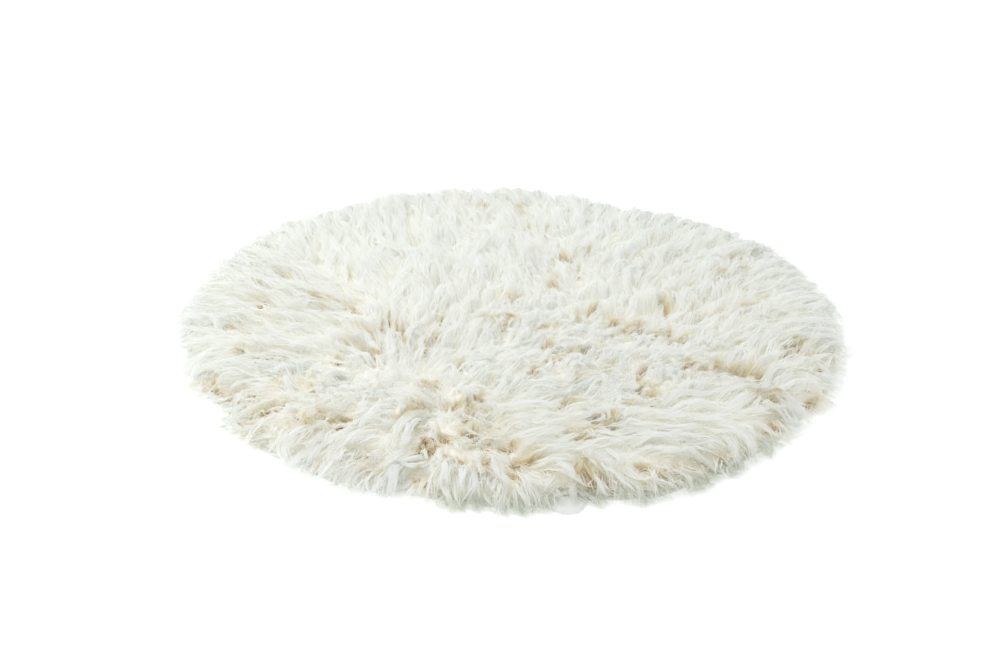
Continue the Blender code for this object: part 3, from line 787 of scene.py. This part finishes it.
def lay_tufts():
    """The middle lines of the table's single locks, and their sizes beside the usual."""
    centre = []
    for tuft in TUFTS:
        flat = even_steps(np.array([on_pile(*pixel) for pixel in tuft.path]))
        for _ in range(TUFT_EASINGS):
            flat[1:-1] = (flat[:-2] + 2.0 * flat[1:-1] + flat[2:]) / 4.0
        lift = tuft.lift / 1000.0 * smooth(SHARES / TUFT_LIFTED)
        lift *= 1.0 - TUFT_TIP_DROP * smooth(SHARES, *TUFT_TIP)
        foot = TUFT_DEPTH * (1.0 - smooth(SHARES / TUFT_RISE))
        height = np.maximum(pile_top(flat) + lift - foot - TUFT_SINK, least_height(flat))
        centre.append(even_steps(np.column_stack([flat, height])))
    return np.array(centre), np.array([tuft.half_width for tuft in TUFTS]) / USUAL_HALF


def even_steps(line):
    """A lock's number of points, the same distance apart along the line."""
    gone = np.concatenate([[0.0], np.cumsum(np.linalg.norm(np.diff(line, axis=0), axis=1))])
    return np.stack([np.interp(SHARES * gone[-1], gone, column) for column in line.T], axis=1)


def inside_roots(points):
    """How far each point is inside the outermost roots."""
    return read_outline(ROOT_EDGE, points) - radius(points)


def tier_of(roots):
    """How high the locks from these roots lie, as a share of the pile's top: lower near the rim."""
    return LOW_SHARE + (1.0 - LOW_SHARE) * smooth(inside_roots(roots) / LOW_TIER)


def mat_top(points):
    """The height of the dense wool between the roots."""
    depth = read_grid(GAP_DEPTHS, points)
    filled = MAT_SHARE * (1.0 - GAP_SINK * depth) + CURLED_FILL * read_grid(CURLS, points) * (1.0 - depth)
    top = pile_top(points) * filled + MAT_ROUGH * ripples(points, MAT_ROUGH_SIZE, MAT_SEED)
    return ROOT_HEIGHT + (top - ROOT_HEIGHT) * smooth(inside_roots(points) / LOW_TIER)


def least_height(points):
    """What a middle line may come down to: clear of the cloth, or of the floor past it."""
    on_cloth = radius(points) < read_outline(CLOTH_EDGE, points) + CLOTH_CLEAR
    return np.where(on_cloth, ROOT_CLEAR, FLOOR_CLEAR)


def unit(vectors):
    return vectors / (np.linalg.norm(vectors, axis=-1, keepdims=True) + TINY)


def frames_along(lines):
    """For each point of the lines, the unit vectors across it, level, and out of its upper side."""
    along = unit(np.gradient(lines, axis=1))
    across = unit(np.cross(along, np.array(UP)))
    return across, np.cross(across, along)


def sample(lines, lock, share):
    """The lines of the given locks, read at the given shares of their length."""
    place = share * (LOCK_POINTS - 1)
    low = np.clip(np.floor(place).astype(int), 0, LOCK_POINTS - 2)
    part = (place - low)[..., None]
    return lines[lock[:, None], low] * (1.0 - part) + lines[lock[:, None], low + 1] * part


def cut_at_gaps(lay, begin, end, edge):
    """Ends each strand where it comes to a gap, or roots it past the gap if that leaves more of it."""
    share = between(begin, end, GAP_TESTS)
    within = read_grid(GAP_DEPTHS, lay(share)[..., :2]) > edge
    crosses = within.any(axis=1)
    strand = np.arange(len(begin))
    first = share[strand, within.argmax(axis=1)][:, None]
    last = share[strand, GAP_TESTS - 1 - within[:, ::-1].argmax(axis=1)][:, None]
    rooted = crosses[:, None] & (end - last > first - begin)
    ended = crosses[:, None] & ~rooted
    return np.where(rooted, last, begin), np.where(ended, first, end), rooted, ended


def between(begin, end, points):
    """Evenly spaced shares along each strand."""
    return begin + (end - begin) * np.linspace(0.0, 1.0, points)


def sink_roots(lines, share, begin, rooted):
    """Brings the strands that are rooted in a gap up from the felted wool."""
    risen = np.where(rooted, smooth((share - begin) / GAP_RISE), 1.0)
    foot = np.minimum(mat_top(lines[..., :2]), lines[..., 2])
    height = foot + (lines[..., 2] - foot) * risen
    height = np.clip(height, least_height(lines[..., :2]), CEILING)
    return np.concatenate([lines[..., :2], height[..., None]], axis=2)


def shaded_share(place):
    """How much painted shade, a duller colour, each point has under the front of the rim."""
    aside = turned_apart(bearings(place), UNDERSIDE_SHADE_MIDDLE)
    low = smooth(place[..., 2], *UNDERSIDE_SHADE_HEIGHTS)
    return low * smooth(aside, *UNDERSIDE_SHADE_SIDES) * (radius(place) > UNDERSIDE_SHADE_INNER)


def colour_place(fleece, share, place, held):
    """How far along the wool's colours, from roots to tips, each point of the strands is; in and past gaps
    it is pulled to the darkest root colours, which paint the shade there.
    """
    usual = fleece.root_tint + (fleece.tip_tint - fleece.root_tint) * share
    tint_and_shade = read_grid(ROOT_TINT_AND_SHADE, place[..., :2]) * held
    return np.where(tint_and_shade > 0.0, np.minimum(usual, WHITE_TINT * (1.0 - tint_and_shade)), usual)


def strands_on(fleece, centre, size_of, tone, rng):
    """The strands of the locks: side by side at the root, and drawn together into a few fine tips."""
    lock = np.repeat(np.arange(len(centre)), fleece.strands)
    column = (len(lock), 1)
    begin = rng.uniform(*STRAND_BEGINS, column)
    end = rng.uniform(*STRAND_ENDS, column)
    tips = rng.normal(0.0, TIP_PLACES, (len(centre), POINTS_A_LOCK))
    tip_place = tips[lock, rng.integers(0, POINTS_A_LOCK, len(lock))][:, None]
    root_place = rng.uniform(-ROOT_PLACES, ROOT_PLACES, column)
    behind = calmness(centre[lock, 0])[:, None]
    draw = rng.uniform(fleece.draw, 1.0, column) * (1.0 - CALM_DRAW * behind)
    loose = rng.uniform(size=column) < LOOSE_SHARE
    fly = np.where(loose, rng.normal(0.0, LOOSE_FLY, column), rng.normal(0.0, HELD_FLY, column))
    rise = np.where(loose, rng.uniform(*LOOSE_RISE, column), rng.normal(0.0, HELD_RISE, column))
    proud = rng.normal(PROUD, PROUD_SPREAD, column)
    swing = fleece.own_wave * rng.uniform(*OWN_WAVES, column)
    phase = rng.uniform(0.0, math.tau, (len(centre), 1))[lock] + rng.normal(0.0, PHASE_SPREAD, column)
    size = size_of[lock][:, None]
    lock_across, lock_over = frames_along(centre)

    def run_of(share):
        return np.clip((share - begin) / (end - begin), 0.0, 1.0)

    def place_across(share):
        drawn = smooth(share, *DRAW_RUN) * draw
        return root_place * (1.0 - drawn) + tip_place * drawn + fly * run_of(share) ** 2

    def lay(share):
        place = place_across(share)
        crown = np.sqrt(np.clip(1.0 - place ** 2, 0.0, 1.0)) * fleece.half_thick
        wave = swing * smooth(share / OWN_WAVE_START)
        turns = share * fleece.length / (OWN_WAVE_LENGTH * fleece.wave_length) * math.tau + phase
        aside = place * fleece.half_width * size + wave * np.sin(turns)
        above = crown * size * (1.0 - CALM * behind) + proud + rise * run_of(share) ** 2
        above = above + WAVE_RISE * wave * np.cos(turns)
        points = sample(centre, lock, share) + sample(lock_across, lock, share) * aside[:, :, None]
        return points + sample(lock_over, lock, share) * above[:, :, None]

    edge = rng.uniform(fleece.cut_first, fleece.cut_last, column) + CALM_CUT * behind
    first, last, rooted, ended = cut_at_gaps(lay, begin, end, edge)
    share = between(first, last, fleece.points)
    lines = sink_roots(lay(share), share, first, rooted)

    tilt = rng.normal(0.0, STRAND_TILT, column) + STRAND_ROLL * place_across(share)
    taper = np.interp(np.linspace(0.0, 1.0, fleece.points), *STRAND_TAPER)
    half = fleece.width / 2.0 * rng.uniform(*STRAND_WIDTHS, column) * taper
    own_tone_and_shade = np.clip(tone[lock] + rng.normal(0.0, STRAND_TONE_SPREAD, column), STRAND_TONE_LEAST, 1.0)
    # strands low under the front of the rim take the lowest tone: painted shade
    own_tone_and_shade = own_tone_and_shade * (1.0 - shaded_share(lines))
    # how much of the warm root colour and painted gap shade each strand takes
    held = np.where(rooted, 1.0, np.where(ended, TINT_SHADE_ENDED, TINT_SHADE_PASSING))
    strands = (lines, wide_of(lines, tilt, half), own_tone_and_shade, colour_place(fleece, share, lines, held))
    kept = np.flatnonzero(last - first > SHORTEST)
    parts = np.array_split(kept, math.ceil(len(lock) * (2 * fleece.points - 3) / PIECE_TRIANGLES))
    return [
        ribbons(f"{fleece.name}_wool_{number}", *(values[part] for values in strands))
        for number, part in enumerate(parts, start=1)
    ]


def make_wisps(rng):
    """Single fine strands that stand out past the rim."""
    turn = rng.uniform(0.0, math.tau, WISPS)
    way = ways(turn)
    roots = way * (read_outline(WOOL_EDGE, way) - rng.uniform(*WISP_INSETS, WISPS))[:, None]
    step = np.linspace(0.0, 1.0, WISP_POINTS)
    heading = turn[:, None] + np.radians(rng.normal(0.0, WISP_STRAY, (WISPS, 1)))
    turning = heading + np.radians(rng.normal(0.0, WISP_BEND, (WISPS, 1))) * step[1:]
    length = rng.uniform(*WISP_LENGTHS, (WISPS, 1, 1))
    flat = roots[:, None, :] + walk(ways(turning) / (WISP_POINTS - 1)) * length
    height = pile_top(roots)[:, None] * rng.uniform(*WISP_ROOTS, (WISPS, 1))
    height = height * (1.0 - rng.uniform(size=(WISPS, 1)) * smooth(step))
    height = np.maximum(height + rng.normal(0.0, WISP_RISE, (WISPS, 1)) * step, least_height(flat))
    lines = np.concatenate([flat, height[:, :, None]], axis=2)
    tilt = rng.uniform(-WISP_TILT, WISP_TILT, (WISPS, 1))
    half = WISP_WIDTH / 2.0 * np.interp(step, *WISP_TAPER)
    tone = np.clip(rng.normal(WISP_TONE, WISP_TONE_SPREAD, (WISPS, 1)), WISP_TONE_LEAST, 1.0)
    tint = WISP_TINT + (1.0 - WISP_TINT) * step
    tone, tint = (np.broadcast_to(values, height.shape) for values in (tone, tint))
    return ribbons("wisps", lines, wide_of(lines, -tilt, half), tone, tint)


def wide_of(lines, tilt, half):
    """From the middle of each strand to its side, tilted about the strand by an angle in radians."""
    across, over = frames_along(lines)
    tilt = tilt[..., None]
    return (across * np.cos(tilt) - over * np.sin(tilt)) * half[..., None]


def ribbons(name, lines, wide, tone, share):
    """One mesh of flat tapered strands along the lines, each ending in a point."""
    count, points = lines.shape[:2]
    sides = np.stack([lines - wide, lines + wide], axis=2)[:, :-1].reshape(count, 2 * (points - 1), 3)
    vertices = np.concatenate([sides, lines[:, -1:]], axis=1)
    per_strand = 2 * points - 1
    faces = []
    for a in range(0, per_strand - 3, 2):
        faces += [(a, a + 1, a + 3), (a, a + 3, a + 2)]
    faces.append((per_strand - 3, per_strand - 2, per_strand - 1))
    corners = np.array(faces).reshape(-1)
    loops = (corners + (np.arange(count) * per_strand)[:, None]).reshape(-1)
    mesh = bpy.data.meshes.new(name)
    mesh.vertices.add(count * per_strand)
    mesh.vertices.foreach_set("co", vertices.reshape(-1))
    mesh.loops.add(len(loops))
    mesh.loops.foreach_set("vertex_index", loops)
    mesh.polygons.add(len(loops) // 3)
    mesh.polygons.foreach_set("loop_start", np.arange(0, len(loops), 3))
    mesh.update(calc_edges=True)
    side = np.where(corners == per_strand - 1, 0.5, corners % 2)
    u = tone[:, corners // 2] * (1.0 - TONE_WIDTH) + TONE_WIDTH * side
    carry(mesh, u, np.clip(share[:, corners // 2], 0.0, 1.0))
    return smooth_piece(name, mesh)


def carry(mesh, u, v):
    """Gives each corner of a mesh two numbers for its material."""
    layer = mesh.uv_layers.new(name="OFBake")
    layer.data.foreach_set("uv", np.stack([u, v], axis=-1).reshape(-1))


def smooth_piece(name, mesh):
    mesh.shade_smooth()
    piece = bpy.data.objects.new(name, mesh)
    bpy.context.scene.collection.objects.link(piece)
    return piece


def closed_rings(name, rings, start, end, corner):
    """A closed mesh through rings of points, from a point under them to a point over them.

    Its four-sided faces are split in two from this corner of each, counted from the lower ring's first.
    """
    sides = len(rings[0])
    points = np.concatenate([[start], *rings, [end]])
    last = len(points) - 1 - sides
    faces = []
    for side in range(sides):
        after = (side + 1) % sides
        faces.append((0, 1 + after, 1 + side))
        for first in range(1, last, sides):
            face = (first + side, first + after, first + sides + after, first + sides + side)
            faces.append(face[corner:] + face[:corner])
        faces.append((last + sides, last + side, last + after))
    mesh = bpy.data.meshes.new(name)
    mesh.from_pydata(points.tolist(), [], faces)
    mesh.validate()
    return smooth_piece(name, mesh)


def make_cloth():
    """The ground cloth: a thin sheet cut to the solid's outline, with a soft edge."""
    low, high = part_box("ground_cloth")
    under, over = low.z + CLOTH_LOW, high.z - CLOTH_HIGH
    way = ways(np.radians(CLOTH_BEARINGS))
    reach = read_outline(CLOTH_EDGE, way)
    rings = [
        np.column_stack([way * (reach * share - inset)[:, None], np.full(len(way), height)])
        for share, inset, height in (
            (CLOTH_INNER, 0.0, under), (CLOTH_OUTER, 0.0, under), (1.0, CLOTH_ROUND, under),
            (1.0, 0.0, under + CLOTH_ROUND_HIGH), (1.0, CLOTH_EDGE_LEAN, high.z - CLOTH_ROUND_HIGH),
            (1.0, CLOTH_ROUND, over), (CLOTH_FLAT, 0.0, over), (CLOTH_OUTER, 0.0, over),
            (CLOTH_INNER, 0.0, over),
        )
    ]
    return closed_rings("woven_cloth", rings, (0.0, 0.0, under), (0.0, 0.0, over), corner=0)


def make_wool():
    pieces = []
    for order, fleece in enumerate(FLEECES):
        rng = np.random.default_rng(LOCK_SEED + LOCK_SEED_STEP * order)
        centre, size_of = lay_tufts() if fleece.name == "tuft" else lay_locks(fleece, rng)
        tone = np.clip(rng.normal(LOCK_TONE, LOCK_TONE_SPREAD, (len(centre), 1)), 0.0, 1.0)
        pieces += strands_on(fleece, centre, size_of, tone, rng)
    pieces.append(make_wisps(np.random.default_rng(WISP_SEED)))
    return pieces


def make_mat():
    """The dense wool between the roots, seen only where locks part."""
    way = ways(np.arange(MAT_SIDES) * (math.tau / MAT_SIDES))
    edge = way * (read_outline(ROOT_EDGE, way) - ROOT_INSET)[:, None]
    under = ROOT_HEIGHT - MAT_DEPTH
    rings = [np.column_stack([edge, np.full(MAT_SIDES, under)])]
    for ring in range(MAT_RINGS, 0, -1):
        flat = edge * (ring / MAT_RINGS)
        rings.append(np.column_stack([flat, mat_top(flat)]))
    middle = mat_top(np.zeros((1, 2)))[0]
    piece = closed_rings("inner_wool", rings, (0.0, 0.0, under), (0.0, 0.0, middle), corner=1)
    corners = [piece.data.vertices[loop.vertex_index].co[:2] for loop in piece.data.loops]
    # how deep each corner lies in a gap, which the material paints as shade
    depth = read_grid(GAP_DEPTHS, np.array(corners))
    carry(piece.data, depth, np.zeros(len(depth)))
    return piece


def new_material(name):
    """A material, its node tree and its Principled shader."""
    material = bpy.data.materials.new(name)
    material.use_nodes = True
    return material, material.node_tree, material.node_tree.nodes["Principled BSDF"]


def set_inputs(tree, node, inputs):
    """Gives each named input of a node its value, or its link from another node's output."""
    for name, value in inputs.items():
        if isinstance(value, bpy.types.NodeSocket):
            tree.links.new(value, node.inputs[name])
        else:
            node.inputs[name].default_value = value


def add(tree, kind, output, inputs, **settings):
    """Adds a shader node, and gives the output of it that is named."""
    node = tree.nodes.new("ShaderNode" + kind)
    for name, setting in settings.items():
        setattr(node, name, setting)
    set_inputs(tree, node, inputs)
    return node.outputs[output]


def ramp(tree, place, stops):
    """A colour that runs from stop to stop as the place goes from 0 to 1."""
    colour = add(tree, "ValToRGB", "Color", {"Fac": place})
    elements = colour.node.color_ramp.elements
    while len(elements) < len(stops):
        elements.new(0.5)
    for element, (position, stop) in zip(elements, stops):
        element.position = position
        element.color = (*stop, 1.0)
    return colour


def product(tree, colour, other):
    inputs = {"Factor": 1.0, "A": colour, "B": other}
    return add(tree, "Mix", "Result", inputs, data_type="RGBA", blend_type="MULTIPLY")


def carried(tree):
    """The two numbers that a piece's corners carry: together, and each by itself."""
    both = add(tree, "UVMap", "UV", {}, uv_map="OFBake")
    first = add(tree, "SeparateXYZ", "X", {0: both})
    return both, first, first.node.outputs["Y"]


def grain(tree, place, scale, detail):
    return add(tree, "TexNoise", "Fac", {"Vector": place, "Scale": scale, "Detail": detail})


def dress(tree, shader, colour, rough, relief, inputs):
    """Sets a surface's colour, what makes it more and less matt, and its fine relief."""
    value, least, most = rough
    height, strength, distance = relief
    matt = add(tree, "MapRange", "Result", {"Value": value, "To Min": least, "To Max": most})
    normal = add(tree, "Bump", "Normal", {"Height": height, "Strength": strength, "Distance": distance})
    set_inputs(tree, shader, {"Base Color": colour, "Normal": normal, "Roughness": matt, **inputs})
    return normal


def wool_material():
    """Cream wool: darker and warmer at the root, each strand with a tone of its own. The darkest root
    colours paint shade in the gaps, and the lowest tone paints shade under the front of the rim.
    """
    material, tree, shader = new_material("long_wool")
    place, tone, along = carried(tree)
    # the stops below the roots' usual colour, down to near black brown, are reached only in and past gaps:
    # painted shade over the warmer roots
    roots_to_tips_and_gap_shade = ramp(tree, along, [
        (0.0, (0.14, 0.105, 0.06)),
        (0.07, (0.75, 0.66, 0.44)),
        (0.15, (0.86, 0.80, 0.61)),
        (0.25, (0.93, 0.90, 0.79)),
        (0.34, (0.968, 0.963, 0.93)),
        (0.42, (0.979, 0.987, 0.9825)),
        (1.0, (0.982, 0.991, 0.993)),
    ])
    # the lowest tone, dull olive, is reached only under the front of the rim: painted shade; the rest is
    # each strand's own tone
    tones_and_rim_shade = ramp(tree, tone, [
        (0.0, (0.855, 0.87, 0.815)),
        (0.15, (0.975, 0.96, 0.93)),
        (0.45, (0.995, 0.995, 0.985)),
        (1.0, (1.0, 1.0, 1.0)),
    ])
    stretch = add(tree, "Mapping", "Vector", {"Scale": (200.0, 4.0, 1.0), "Vector": place})
    fibres = grain(tree, stretch, 1.0, 2.0)
    streaks = ramp(tree, fibres, [
        (0.3, (0.97, 0.96, 0.94)),
        (0.5, (0.995, 0.993, 0.987)),
        (0.7, (1.0, 1.0, 1.0)),
    ])
    colour = product(tree, product(tree, roots_to_tips_and_gap_shade, tones_and_rim_shade), streaks)
    matt = {"Specular IOR Level": 0.25, "Sheen Weight": 0.15, "Sheen Roughness": 0.5}
    normal = dress(tree, shader, colour, (fibres, 0.72, 0.95), (fibres, 0.4, 0.0004), matt)
    through = add(tree, "BsdfTranslucent", "BSDF", {"Color": colour, "Normal": normal})
    both = add(tree, "MixShader", "Shader", {"Fac": 0.48, 1: shader.outputs["BSDF"], 2: through})
    set_inputs(tree, tree.nodes["Material Output"], {"Surface": both})
    return material


def cloth_material():
    """Undyed woolen cloth in a plain weave, a little felted."""
    material, tree, shader = new_material("woven_cloth")
    place = add(tree, "TexCoord", "Object", {})
    yarn = {"Vector": place, "Scale": 260.0, "Distortion": 2.5, "Detail Scale": 2.0}
    warp, weft = (
        add(tree, "TexWave", "Fac", yarn, wave_type="BANDS", bands_direction=axis) for axis in ("X", "Y")
    )
    weave = add(tree, "Math", 0, {0: warp, 1: weft}, operation="MAXIMUM")
    felt = grain(tree, place, 900.0, 3.0)
    relief = add(tree, "Math", 0, {0: felt, 1: 0.4, 2: weave}, operation="MULTIPLY_ADD")
    colour = ramp(tree, relief, [
        (0.0, (0.84, 0.83, 0.78)),
        (0.6, (0.92, 0.92, 0.88)),
        (1.0, (0.95, 0.95, 0.92)),
    ])
    matt = {"Specular IOR Level": 0.2, "Sheen Weight": 0.1}
    dress(tree, shader, colour, (felt, 0.80, 0.97), (relief, 0.6, 0.0006), matt)
    return material


def mat_material():
    """The roots' colour: warmer than the tips, mottled, and felted together, with painted shade that grows
    darker and warmer towards a gap's middle.
    """
    material, tree, shader = new_material("inner_wool")
    tufts = grain(tree, add(tree, "TexCoord", "Object", {}), 260.0, 4.0)
    mottle = ramp(tree, tufts, [
        (0.25, (0.92, 0.87, 0.75)),
        (0.5, (0.955, 0.93, 0.86)),
        (0.75, (0.975, 0.965, 0.93)),
    ])
    depth = carried(tree)[1]
    # painted shade, darker and warmer deeper in a gap
    gap_tint_and_shade = ramp(tree, depth, [(0.0, (1.0, 1.0, 1.0)), (0.2, (0.84, 0.73, 0.54)), (0.6, (0.46, 0.34, 0.19))])
    colour = product(tree, mottle, gap_tint_and_shade)
    dress(tree, shader, colour, (tufts, 0.80, 0.98), (tufts, 0.8, 0.002), {"Specular IOR Level": 0.2})
    return material


def make_floor():
    bpy.ops.mesh.primitive_plane_add(size=FLOOR_SIZE, location=(0.0, 0.0, FLOOR_HEIGHT))
    floor = bpy.context.object
    floor.name = "floor"
    material, tree, shader = new_material("pale_floor")
    white = (1.0, 1.0, 1.0, 1.0)
    surface = {"Base Color": white, "Roughness": 1.0, "Specular IOR Level": 0.0}
    set_inputs(tree, shader, {**surface, "Emission Color": white, "Emission Strength": FLOOR_GLOW})
    floor.data.materials.append(material)


def make_light():
    scene = bpy.context.scene
    world = bpy.data.worlds.new("studio")
    world.use_nodes = True
    sky = world.node_tree.nodes["Background"]
    set_inputs(world.node_tree, sky, {"Color": SKY_COLOUR, "Strength": SKY_STRENGTH})
    scene.world = world
    data = bpy.data.lights.new("softbox", "AREA")
    data.shape = "DISK"
    data.size = LAMP_SIZE
    data.energy = LAMP_POWER
    data.color = LAMP_COLOUR
    place_at(bpy.data.objects.new("softbox", data), LAMP_PLACE, Vector((0.0, 0.0, 0.0)))
    scene.view_settings.view_transform = "Standard"
    scene.cycles.max_bounces = BOUNCES
    scene.cycles.diffuse_bounces = BOUNCES


make_camera()
make_floor()
make_light()

cloth = make_cloth()
cloth.data.materials.append(cloth_material())
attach(cloth, BODY)
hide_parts("ground_cloth")

wool = make_wool()
wool_finish = wool_material()
for piece in wool:
    piece.data.materials.append(wool_finish)
mat = make_mat()
mat.data.materials.append(mat_material())
wool.append(mat)
for piece in wool:
    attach(piece, BODY)
    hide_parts("wool_pile")
